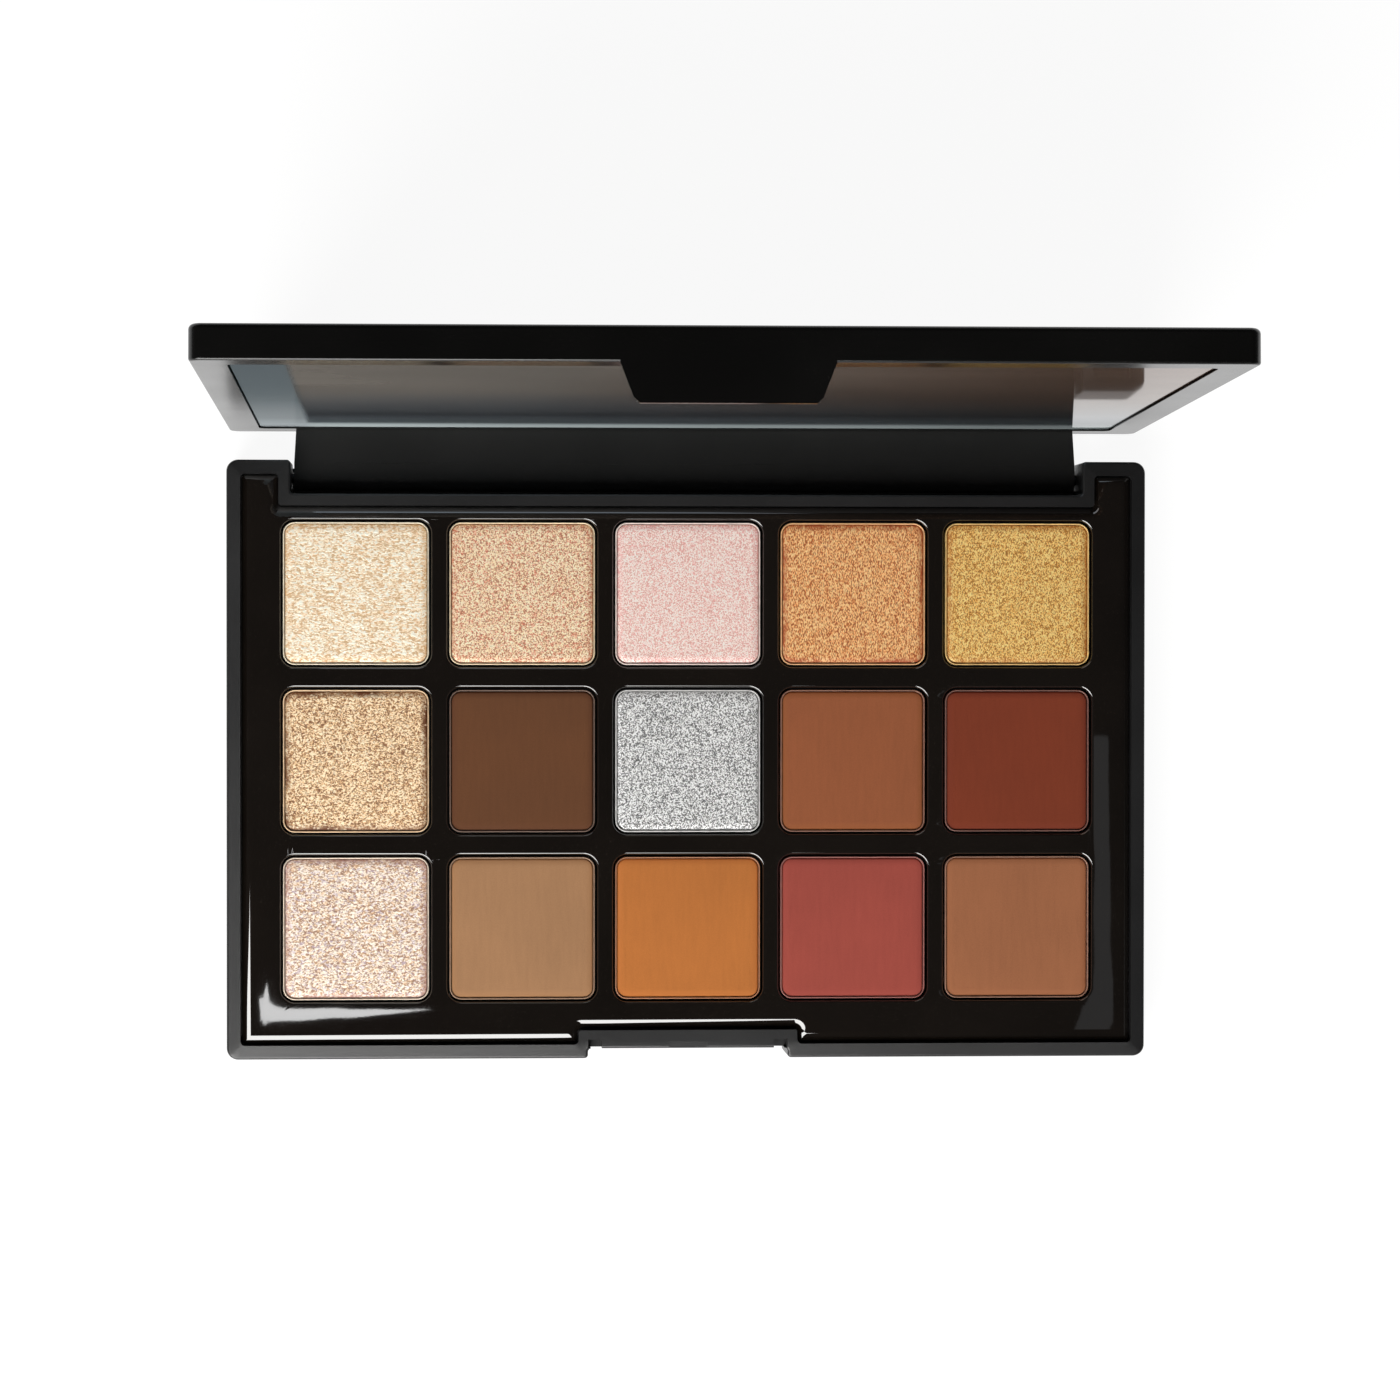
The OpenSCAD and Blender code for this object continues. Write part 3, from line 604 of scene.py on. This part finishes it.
# the tones from deep to the brightest are the flake colours of a shimmer from dark to bright, the darkest partly
# painted shade between the flakes and the brightest a painted glint; warm and cool its stray flakes; a matte has a
# base and an edge colour, slightly darker on most, painted shade where the powder falls below the pan's rim
# tones follow measurements of the photo, and most of row 1's were then scaled; deep to glint are the flake colours
# of a shimmer from dark to bright, warm and cool its stray flakes; a matte has a base and a pressed edge, slightly
# darker on most tones follow measurements of the photo, and a helper script scaled most of row 1's
powders = {
    "row1_col1": {"kind": "shimmer", "deep": "c6a47a", "base": "f7e1c1", "light": "fff2d5", "paintedGlint": "fffff1",
                  "warm": "eebb90", "cool": "fbecd2", "edge": "cf9f68", "size": 0.20, "stretch": (0.5, 1.0, 1.0),
                  "crumple": 0.8, "clouds": 0.8, "tints": 0.30, "border": 0.6},
    "row1_col2": {"kind": "shimmer", "deep": "87482b", "base": "f8cda4", "light": "ffe7bd", "paintedGlint": "fffee0",
                  "warm": "e27e61", "cool": "fbdaac", "edge": "b0603f", "size": 0.16, "stretch": (1.0, 1.0, 1.0),
                  "crumple": 0.1, "clouds": 0.5, "tints": 0.62, "border": 0.5},
    "row1_col3": {"kind": "shimmer", "deep": "ca948a", "base": "fdd9cf", "light": "ffebe1", "paintedGlint": "fffdf6",
                  "warm": "f5ada9", "cool": "fce2d5", "edge": "d9928f", "size": 0.16, "stretch": (1.0, 1.0, 1.0),
                  "crumple": 0.1, "clouds": 0.6, "tints": 0.45, "border": 0.5},
    "row1_col4": {"kind": "shimmer", "deep": "8a3f0a", "base": "f8a25c", "light": "ffc17e", "paintedGlint": "ffe1a5",
                  "warm": "cf6627", "cool": "f7b472", "edge": "9c4420", "size": 0.12, "stretch": (1.0, 0.36, 1.0),
                  "crumple": 0.25, "clouds": 0.6, "tints": 0.30, "border": 1.0},
    "row1_col5": {"kind": "shimmer", "deep": "8a540a", "base": "ffba59", "light": "ffd179", "paintedGlint": "ffeb9f",
                  "warm": "d68e2d", "cool": "fec96e", "edge": "a05e22", "size": 0.12, "stretch": (1.0, 0.6, 1.0),
                  "crumple": 0.15, "clouds": 0.5, "tints": 0.30, "border": 0.8},
    "row2_col1": {"kind": "shimmer", "deep": "74492a", "base": "e0b887", "light": "f8d2a3", "paintedGlint": "fff0d0",
                  "warm": "c98f5c", "cool": "e6c79f", "edge": "5f3214", "size": 0.18, "stretch": (0.75, 1.0, 1.0),
                  "crumple": 0.9, "clouds": 0.5, "tints": 0.25, "border": 1.1},
    "row2_col2": {"kind": "matte", "base": "613e28", "edge": "573624"},
    "row2_col3": {"kind": "shimmer", "deep": "464645", "base": "bfbebd", "light": "e0e0df", "paintedGlint": "ffffff",
                  "warm": "a3a19f", "cool": "b2b7bd", "edge": "a0a09f", "size": 0.16, "stretch": (1.0, 1.0, 1.0),
                  "crumple": 0.0, "clouds": 0.2, "tints": 0.25, "border": 0.3},
    "row2_col4": {"kind": "matte", "base": "8c5235", "edge": "864f2e"},
    "row2_col5": {"kind": "matte", "base": "753522", "edge": "6c3021"},
    "row3_col1": {"kind": "shimmer", "deep": "90694f", "base": "d8c5ac", "light": "eedcc6", "paintedGlint": "fff4e4",
                  "warm": "dcb083", "cool": "c8bccf", "edge": "a67a72", "size": 0.19, "stretch": (0.65, 1.0, 1.0),
                  "crumple": 0.85, "clouds": 0.5, "tints": 0.52, "border": 0.8},
    "row3_col2": {"kind": "matte", "base": "9b7453", "edge": "976e4c"},
    "row3_col3": {"kind": "matte", "base": "ae6a35", "edge": "b06935"},
    "row3_col4": {"kind": "matte", "base": "95463c", "edge": "92443b"},
    "row3_col5": {"kind": "matte", "base": "945f41", "edge": "915c3e"},
}


# rough and metal run from the first two tones to the last two values
shimmerPlan = {
    "tones": {"deep": 0.03, "base": 0.5, "light": 0.8, "paintedGlint": 0.98},
    "wornScale": 260.0, "wornSpan": (0.3, 1.2), "borderCurve": 0.9,
    "paintedGlintShare": 0.5,
    "rough": (0.0, 1.0, 0.62, 0.42),
    "metal": (0.2, 1.0, 0.1, 0.35),
    "bump": 0.16,                          # against the flake size
}


def makeShimmer(name, look, seed):
    material, tree, shader = newMaterial(name)
    spot = objectPlace(tree)
    flakes = useGroup(tree, flakeGroup, **{"Place": spot, "Flake Size": look["size"], "Stretch": look["stretch"],
                                           "Seed": seed * 1.7, "Crumple": look["crumple"], "Clouds": look["clouds"]})
    # the tones run from dark flakes with painted shade between them to a painted glint
    tones = ramp(tree, flakes["Tone"], [(level, paint(look[tone])) for tone, level in shimmerPlan["tones"].items()])
    stray = ramp(tree, flakes["Tint"], [(0.0, paint(look["warm"])), (1.0, paint(look["cool"]))])
    aside = calc(tree, "ABSOLUTE", calc(tree, "SUBTRACT", calc(tree, "MULTIPLY", flakes["Tint"], 2.0), 1.0))
    toned = mixColour(tree, calc(tree, "MULTIPLY", aside, look["tints"]), tones, stray)
    band = addNode(tree, "ShaderNodeAttribute", attribute_name="edgeBand").outputs["Fac"]
    worn = addNode(tree, "ShaderNodeTexNoise", {"Vector": spot, "Scale": shimmerPlan["wornScale"],
                                               "Detail": 3.0})
    reach = calc(tree, "MULTIPLY", calc(tree, "POWER", band, shimmerPlan["borderCurve"]),
                 remap(tree, worn.outputs["Fac"], 0.3, 0.7, *shimmerPlan["wornSpan"]))
    border = calc(tree, "MULTIPLY", reach, look["border"], clamp=True)
    edged = mixColour(tree, border, toned, (*paint(look["edge"]), 1))
    # painted glints: the brightest flake colour on scattered cells
    paintedGlint = calc(tree, "MULTIPLY", flakes["Painted Glint"], shimmerPlan["paintedGlintShare"])
    colour = mixColour(tree, paintedGlint, edged, (*paint(look["paintedGlint"]), 1))
    tree.links.new(colour, shader.inputs["Base Color"])
    tree.links.new(remap(tree, flakes["Tone"], *shimmerPlan["rough"]), shader.inputs["Roughness"])
    tree.links.new(remap(tree, flakes["Tone"], *shimmerPlan["metal"]), shader.inputs["Metallic"])
    bump = addNode(tree, "ShaderNodeBump",
                   {"Strength": 1.0, "Distance": look["size"] * shimmerPlan["bump"] * millimetre,
                    "Height": flakes["Height"]})
    tree.links.new(bump.outputs[0], shader.inputs["Normal"])
    return material


mattePlan = {
    "grain": 5200.0, "strokes": (1900.0, 260.0, 1.0), "clouds": 90.0,
    "dark": 0.94, "pale": 1.05,
    "grainShare": 0.6, "strokeShare": 0.4, "fine": (0.92, 1.04),
    "edge": 0.8, "rough": (0.78, 0.90),
    "bump": 0.02 * millimetre,
}


def makeMatte(name, look, seed):
    # velvety pressed powder: fine grain, faint upright strokes, slow clouds, and a band along the pan's rim in the
    # edge colour, painted shade where the powder falls below the rim
    material, tree, shader = newMaterial(name, **{"Specular IOR Level": 0.12})
    spot = objectPlace(tree)
    grain = addNode(tree, "ShaderNodeTexNoise",
                    {"Vector": spot, "W": seed * 2.3, "Scale": mattePlan["grain"], "Detail": 3.0},
                    noise_dimensions="4D")
    stroke = addNode(tree, "ShaderNodeTexNoise",
                     {"Vector": vectorCalc(tree, "MULTIPLY", spot, mattePlan["strokes"]), "W": seed * 1.3,
                      "Scale": 1.0, "Detail": 2.0}, noise_dimensions="4D")
    cloud = addNode(tree, "ShaderNodeTexNoise",
                    {"Vector": spot, "W": seed * 3.1, "Scale": mattePlan["clouds"], "Detail": 2.0},
                    noise_dimensions="4D")
    band = addNode(tree, "ShaderNodeAttribute", attribute_name="edgeBand").outputs["Fac"]
    base = paint(look["base"])
    dark = tuple(mattePlan["dark"] * c for c in base)
    pale = tuple(mattePlan["pale"] * c for c in base)
    body = ramp(tree, cloud.outputs["Fac"], [(0.3, dark), (0.7, pale)])
    mottle = calc(tree, "ADD", calc(tree, "MULTIPLY", grain.outputs["Fac"], mattePlan["grainShare"]),
                  calc(tree, "MULTIPLY", stroke.outputs["Fac"], mattePlan["strokeShare"]))
    low, high = mattePlan["fine"]
    fine = ramp(tree, mottle, [(0.35, (low, low, low)), (0.65, (high, high, high))])
    body = mixColour(tree, 1.0, body, fine, "MULTIPLY")
    # a band along the pan's rim takes the edge colour, mostly darker: painted shade where the powder falls below the
    # rim
    edged = mixColour(tree, calc(tree, "MULTIPLY", band, mattePlan["edge"]), body, (*paint(look["edge"]), 1))
    tree.links.new(edged, shader.inputs["Base Color"])
    tree.links.new(remap(tree, cloud.outputs["Fac"], 0.3, 0.7, *mattePlan["rough"]), shader.inputs["Roughness"])
    bump = addNode(tree, "ShaderNodeBump", {"Strength": 0.5, "Distance": mattePlan["bump"], "Height": mottle})
    tree.links.new(bump.outputs[0], shader.inputs["Normal"])
    return material


padPlan = {
    "cells": 84,
    "corner": 1.3 * millimetre,
    "border": 0.95 * millimetre,
    "rise": 0.15 * millimetre,
}


def makePadTree():
    # a pressed pad: flat rounded square with soft shoulders and a little relief
    tree, given, out = newGroup(
        "pressedPad",
        [("Width", "NodeSocketFloat", 0.0193), ("Depth", "NodeSocketFloat", 0.0189),
         ("Thickness", "NodeSocketFloat", 0.003), ("Corner", "NodeSocketFloat", 0.0013),
         ("Border", "NodeSocketFloat", 0.0009), ("Rise", "NodeSocketFloat", 0.00015),
         ("Relief", "NodeSocketFloat", 0.0), ("Relief Size", "NodeSocketFloat", 0.001),
         ("Seed", "NodeSocketFloat", 0.0), ("Cells", "NodeSocketInt", 60),
         ("Centre", "NodeSocketVector", None), ("Material", "NodeSocketMaterial", None)],
        [("Mesh", "NodeSocketGeometry")], kind="GeometryNodeTree")
    grid = addNode(tree, "GeometryNodeMeshGrid",
                   {"Size X": given["Width"], "Size Y": given["Depth"], "Vertices X": given["Cells"],
                    "Vertices Y": given["Cells"]})
    spot = addNode(tree, "GeometryNodeInputPosition").outputs[0]
    innerX = calc(tree, "SUBTRACT", calc(tree, "DIVIDE", given["Width"], 2.0), given["Corner"])
    innerY = calc(tree, "SUBTRACT", calc(tree, "DIVIDE", given["Depth"], 2.0), given["Corner"])
    inner = addNode(tree, "ShaderNodeCombineXYZ", {0: innerX, 1: innerY}).outputs[0]
    core = vectorCalc(tree, "MAXIMUM", vectorCalc(tree, "MINIMUM", spot, inner),
                      vectorCalc(tree, "SCALE", inner, scale=-1.0))
    stray = vectorCalc(tree, "SUBTRACT", spot, core)
    parts = addNode(tree, "ShaderNodeSeparateXYZ", {0: vectorCalc(tree, "ABSOLUTE", stray)})
    reach = calc(tree, "MAXIMUM", parts.outputs[0], parts.outputs[1])
    length = calc(tree, "MAXIMUM", vectorCalc(tree, "LENGTH", stray), 1e-9)
    rounding = vectorCalc(tree, "SCALE", stray, scale=calc(tree, "DIVIDE", reach, length))
    pulled = vectorCalc(tree, "ADD", core, rounding)
    inset = calc(tree, "DIVIDE", calc(tree, "SUBTRACT", given["Corner"], reach), given["Border"], clamp=True)
    banded = addNode(tree, "GeometryNodeStoreNamedAttribute",
                     {"Geometry": grid.outputs["Mesh"], "Name": "inset", "Value": inset},
                     data_type="FLOAT", domain="POINT")
    rounded = addNode(tree, "GeometryNodeSetPosition", {"Geometry": banded.outputs[0], "Position": pulled})
    # the underside fills the outline that the raised top leaves open
    raised = addNode(tree, "GeometryNodeExtrudeMesh",
                     {"Mesh": rounded.outputs[0], "Offset Scale": given["Thickness"], "Individual": False})
    edges = addNode(tree, "GeometryNodeInputMeshEdgeNeighbors").outputs[0]
    rimEdge = addNode(tree, "FunctionNodeCompare", {2: edges, 3: 1}, data_type="INT", operation="EQUAL")
    loop = addNode(tree, "GeometryNodeMeshToCurve", {"Mesh": rounded.outputs[0], "Selection": rimEdge.outputs[0]})
    sole = addNode(tree, "GeometryNodeFillCurve", {"Curve": loop.outputs[0]})
    turned = addNode(tree, "GeometryNodeFlipFaces", {"Mesh": sole.outputs[0]})
    known = addNode(tree, "GeometryNodeInputNamedAttribute", {"Name": "inset"}, data_type="FLOAT").outputs[0]
    left = calc(tree, "SUBTRACT", 1.0, known)
    shoulder = calc(tree, "SUBTRACT", 1.0, calc(tree, "MULTIPLY", left, left))
    bumps = addNode(tree, "ShaderNodeTexNoise",
                    {"Vector": addNode(tree, "GeometryNodeInputPosition").outputs[0], "W": given["Seed"],
                     "Scale": calc(tree, "DIVIDE", 1.0, given["Relief Size"]), "Detail": 3.0, "Distortion": 0.8},
                    noise_dimensions="4D")
    swell = calc(tree, "MULTIPLY", calc(tree, "SUBTRACT", bumps.outputs["Fac"], 0.55), given["Relief"])
    lift = calc(tree, "MULTIPLY", calc(tree, "ADD", given["Rise"], swell), shoulder)
    shaped = addNode(tree, "GeometryNodeSetPosition",
                     {"Geometry": raised.outputs["Mesh"], "Selection": raised.outputs["Top"],
                      "Offset": addNode(tree, "ShaderNodeCombineXYZ", {2: lift}).outputs[0]})
    joined = addNode(tree, "GeometryNodeJoinGeometry")
    tree.links.new(shaped.outputs[0], joined.inputs[0])
    tree.links.new(turned.outputs[0], joined.inputs[0])
    welded = addNode(tree, "GeometryNodeMergeByDistance",
                     {"Geometry": joined.outputs[0], "Distance": 0.002 * millimetre})
    marked = addNode(tree, "GeometryNodeStoreNamedAttribute",
                     {"Geometry": welded.outputs[0], "Name": "edgeBand",
                      "Value": calc(tree, "SUBTRACT", 1.0, addNode(tree, "GeometryNodeInputNamedAttribute",
                                                                   {"Name": "inset"}, data_type="FLOAT").outputs[0])},
                     data_type="FLOAT", domain="POINT")
    moved = addNode(tree, "GeometryNodeSetPosition", {"Geometry": marked.outputs[0], "Offset": given["Centre"]})
    smooth = addNode(tree, "GeometryNodeSetShadeSmooth", {0: moved.outputs[0]})
    realised = addNode(tree, "GeometryNodeRealizeInstances", {0: smooth.outputs[0]})
    painted = addNode(tree, "GeometryNodeSetMaterial", {0: realised.outputs[0], "Material": given["Material"]})
    tree.links.new(painted.outputs[0], out.inputs[0])
    return tree


padTree = makePadTree()
for number, (cell, look) in enumerate(powders.items(), 1):
    node = "powder_" + cell
    low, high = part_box(node)
    finish = (makeShimmer if look["kind"] == "shimmer" else makeMatte)("pressed_" + cell, look, number)
    centre = (low + high) / 2
    thickness = high.z - low.z - padPlan["rise"]
    mesh = meshFrom("pad", padTree, {
        "Width": high.x - low.x, "Depth": high.y - low.y, "Thickness": thickness,
        "Corner": padPlan["corner"], "Border": padPlan["border"], "Rise": padPlan["rise"],
        "Relief": 0.06 * look.get("crumple", 0.0) * millimetre, "Relief Size": 0.9 * millimetre,
        "Seed": float(number), "Cells": padPlan["cells"], "Centre": (centre.x, centre.y, low.z),
        "Material": finish})
    place(mesh, "pressed_" + cell, "base", "powder_" + cell[3] + "_" + cell[8], node)
print("powders pressed")


# pans, all of one pattern

panPlan = {
    "corner": 1.6 * millimetre,
    "wall": 0.2 * millimetre,
    "lip": 0.09 * millimetre,
    "steps": 7,
}


def makePanTree():
    # drawn pans on a grid: a walled outline with a rounded lip, and a floor
    tree, given, out = newGroup(
        "drawnPans",
        [("Width", "NodeSocketFloat", 0.0199), ("Depth", "NodeSocketFloat", 0.0195),
         ("Height", "NodeSocketFloat", 0.0038), ("Corner", "NodeSocketFloat", 0.0016),
         ("Wall", "NodeSocketFloat", 0.0003), ("Lip", "NodeSocketFloat", 0.00013),
         ("Steps", "NodeSocketInt", 7), ("Columns", "NodeSocketInt", 5), ("Rows", "NodeSocketInt", 3),
         ("Span X", "NodeSocketFloat", 0.09), ("Span Y", "NodeSocketFloat", 0.045),
         ("Centre", "NodeSocketVector", None), ("Material", "NodeSocketMaterial", None)],
        [("Mesh", "NodeSocketGeometry")], kind="GeometryNodeTree")
    pathX = calc(tree, "SUBTRACT", given["Width"], given["Wall"])
    pathY = calc(tree, "SUBTRACT", given["Depth"], given["Wall"])
    outline = addNode(tree, "GeometryNodeCurvePrimitiveQuadrilateral", {"Width": pathX, "Height": pathY})
    turn = calc(tree, "SUBTRACT", given["Corner"], calc(tree, "DIVIDE", given["Wall"], 2.0))
    path = addNode(tree, "GeometryNodeFilletCurve",
                   {"Curve": outline.outputs[0], "Count": given["Steps"], "Radius": turn}, mode="POLY")
    section = addNode(tree, "GeometryNodeCurvePrimitiveQuadrilateral",
                      {"Width": given["Wall"], "Height": given["Height"]})
    lipped = addNode(tree, "GeometryNodeFilletCurve",
                     {"Curve": section.outputs[0], "Count": 4, "Radius": given["Lip"]}, mode="POLY")
    upright = addNode(tree, "GeometryNodeSetCurveNormal", {"Curve": path.outputs[0]}, mode="Z_UP")
    wall = addNode(tree, "GeometryNodeCurveToMesh",
                   {"Curve": upright.outputs[0], "Profile Curve": lipped.outputs[0]})
    filled = addNode(tree, "GeometryNodeFillCurve", {"Curve": path.outputs[0]})
    floorTop = addNode(tree, "GeometryNodeExtrudeMesh",
                       {"Mesh": filled.outputs[0], "Offset Scale": given["Wall"], "Individual": False})
    floorSole = addNode(tree, "GeometryNodeFlipFaces", {"Mesh": filled.outputs[0]})
    base = addNode(tree, "GeometryNodeJoinGeometry")
    tree.links.new(floorTop.outputs["Mesh"], base.inputs[0])
    tree.links.new(floorSole.outputs[0], base.inputs[0])
    down = addNode(tree, "ShaderNodeCombineXYZ", {2: calc(tree, "DIVIDE", given["Height"], -2.0)}).outputs[0]
    sunk = addNode(tree, "GeometryNodeTransform",
                   {"Geometry": base.outputs[0], "Translation": down})
    pan = addNode(tree, "GeometryNodeJoinGeometry")
    tree.links.new(wall.outputs[0], pan.inputs[0])
    tree.links.new(sunk.outputs[0], pan.inputs[0])
    spots = addNode(tree, "GeometryNodeMeshGrid",
                    {"Size X": given["Span X"], "Size Y": given["Span Y"], "Vertices X": given["Columns"],
                     "Vertices Y": given["Rows"]})
    rows = addNode(tree, "GeometryNodeInstanceOnPoints", {"Points": spots.outputs[0], "Instance": pan.outputs[0]})
    moved = addNode(tree, "GeometryNodeTransform", {"Geometry": rows.outputs[0], "Translation": given["Centre"]})
    realised = addNode(tree, "GeometryNodeRealizeInstances", {0: moved.outputs[0]})
    smooth = addNode(tree, "GeometryNodeSetShadeSmooth", {0: realised.outputs[0]})
    painted = addNode(tree, "GeometryNodeSetMaterial", {0: smooth.outputs[0], "Material": given["Material"]})
    tree.links.new(painted.outputs[0], out.inputs[0])
    return tree


def makePans():
    low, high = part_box("pan_row1_col1")
    first = (low + high) / 2
    last = sum(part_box("pan_row3_col5"), Vector()) / 2
    mesh = meshFrom("pans", makePanTree(), {
        "Width": high.x - low.x, "Depth": high.y - low.y, "Height": high.z - low.z, "Corner": panPlan["corner"],
        "Wall": panPlan["wall"], "Lip": panPlan["lip"], "Steps": panPlan["steps"], "Columns": 5, "Rows": 3,
        "Span X": last.x - first.x, "Span Y": first.y - last.y, "Centre": tuple((first + last) / 2),
        "Material": makePanMetal()})
    # each pan takes a dusting of its own powder
    centres = {cell: sum(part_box("pan_" + cell), Vector()) / 2 for cell in powders}
    tint = mesh.attributes.new("dustTint", "FLOAT_COLOR", "POINT")
    for vertex in mesh.vertices:
        cell = min(centres, key=lambda c: (centres[c].xy - vertex.co.xy).length_squared)
        tint.data[vertex.index].color = (*paint(powders[cell].get("light", powders[cell]["base"])), 1)
    place(mesh, "pans", "base", "pan_metal", *["pan_" + cell for cell in powders])


makePans()
print("pans drawn")


# case, tray, lid, mirror and small parts

rimPlan = {"top": 8.4 * millimetre, "width": 1.9 * millimetre, "fall": 0.19 * millimetre}
mouthPlan = {"depth": 0.52 * millimetre, "width": 0.78 * millimetre, "keepWidth": 0.42, "keepDepth": 0.6,
             "gap": 0.3 * millimetre, "corner": 1.9 * millimetre}
finishes = {name: makePlastic(name, look) for name, look in plastics.items()}
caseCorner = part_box("base_shell")[1]


def slopeRim(spot):
    # the rim's top falls a little towards its outer edge
    if spot.z > rimPlan["top"]:
        inward = min(caseCorner.x - abs(spot.x), caseCorner.y - abs(spot.y))
        spot.z -= rimPlan["fall"] * max(0.0, 1 - inward / rimPlan["width"])


panBoxes = {cell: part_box("pan_" + cell) for cell in powders}
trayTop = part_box("pan_tray")[1].z


def tightenMouth(spot):
    # draws the pockets' rounded mouths in, so that their shine is a thin line
    if spot.z < trayTop - mouthPlan["depth"]:
        return
    low, high = min(panBoxes.values(), key=lambda box: ((box[0] + box[1]).xy / 2 - spot.xy).length_squared)
    middle = (low + high).xy / 2
    half = (high - low).xy / 2 + Vector((mouthPlan["gap"], mouthPlan["gap"]))
    offset = spot.xy - middle
    corner = Vector((max(abs(offset.x) - half.x + mouthPlan["corner"], 0),
                     max(abs(offset.y) - half.y + mouthPlan["corner"], 0)))
    outside = corner.length - mouthPlan["corner"]
    if 0.005 * millimetre < outside < mouthPlan["width"]:
        step = corner.normalized() * outside * (1 - mouthPlan["keepWidth"])
        spot.x -= math.copysign(step.x, offset.x)
        spot.y -= math.copysign(step.y, offset.y)
    if outside < mouthPlan["width"]:
        spot.z = trayTop - (trayTop - spot.z) * mouthPlan["keepDepth"]


hinge = frame["record"]["behaviour"]["joints"][0]
hingePlan = {"level": 1.51 * millimetre, "radius": 1.95 * millimetre, "bore": 1.2 * millimetre,
             "reach": 6.7 * millimetre, "face": 0.3 * millimetre, "end": 54 * millimetre,
             "ends": (52.5 * millimetre, 0.27 * millimetre),   # from here on the barrel is drawn out by this much
             "satinBelow": 6 * millimetre, "satinBefore": 45.2 * millimetre}


def levelHinge(spot):
    # fills the step between skirt and barrel, so that one flat face runs from the mirror's frame to the barrel
    turn = math.radians(hinge["range_deg"][1])
    start, longer = hingePlan["ends"]
    y, z = spot.y - hinge["pos_m"][1], spot.z - hinge["pos_m"][2]
    across, along = y * math.cos(turn) - z * math.sin(turn), y * math.sin(turn) + z * math.cos(turn)
    if abs(spot.x) > hingePlan["end"]:
        return
    if abs(spot.x) > start and math.hypot(y, z) < 1.02 * hingePlan["radius"]:
        spot.x += math.copysign(longer, spot.x)
    if (math.hypot(across, along) < hingePlan["bore"]
            or across > hingePlan["face"] or not -2 * hingePlan["radius"] < along < hingePlan["reach"]):
        return
    if across < -1.02 * hingePlan["radius"]:
        return
    if along > 0:
        across = -hingePlan["level"]
    elif across < 0:
        across *= hingePlan["level"] / hingePlan["radius"]
    spot.y = hinge["pos_m"][1] + across * math.cos(turn) + along * math.sin(turn)
    spot.z = hinge["pos_m"][2] - across * math.sin(turn) + along * math.cos(turn)


def isHinge(centre):
    # the skirt and barrel low at the back have the satin finish
    return 1 if centre.z < hingePlan["satinBelow"] and centre.y < hingePlan["satinBefore"] else 0


dressNode("base_shell", "caseShell", "base", "case_plastic", [finishes["caseSatin"]], reshape=slopeRim)
dressNode("pan_tray", "glossTray", "base", "tray_plastic", [finishes["trayGloss"]], reshape=tightenMouth)
dressNode("lid_shell", "lidShell", "lid", "lid_plastic", [finishes["lidGloss"], finishes["hingeSatin"]],
          reshape=levelHinge, choose=isHinge)
dressNode("mirror_glass", "mirrorGlass", "lid", "mirror", [makeMirror()])
steel = makeSteel()
hidden = {
    "hinge_pin_left": steel,
    "hinge_pin_right": steel,
    "mirror_tape": makeHidden("foamTape", (0.78, 0.78, 0.74), 1500.0),
    "pan_glue": makeHidden("clearGlue", (0.62, 0.60, 0.50), 700.0),
}
for name, material in hidden.items():
    data = frame["nodes"][name].data
    data.materials.clear()
    data.materials.append(material)
print("case and lid dressed")
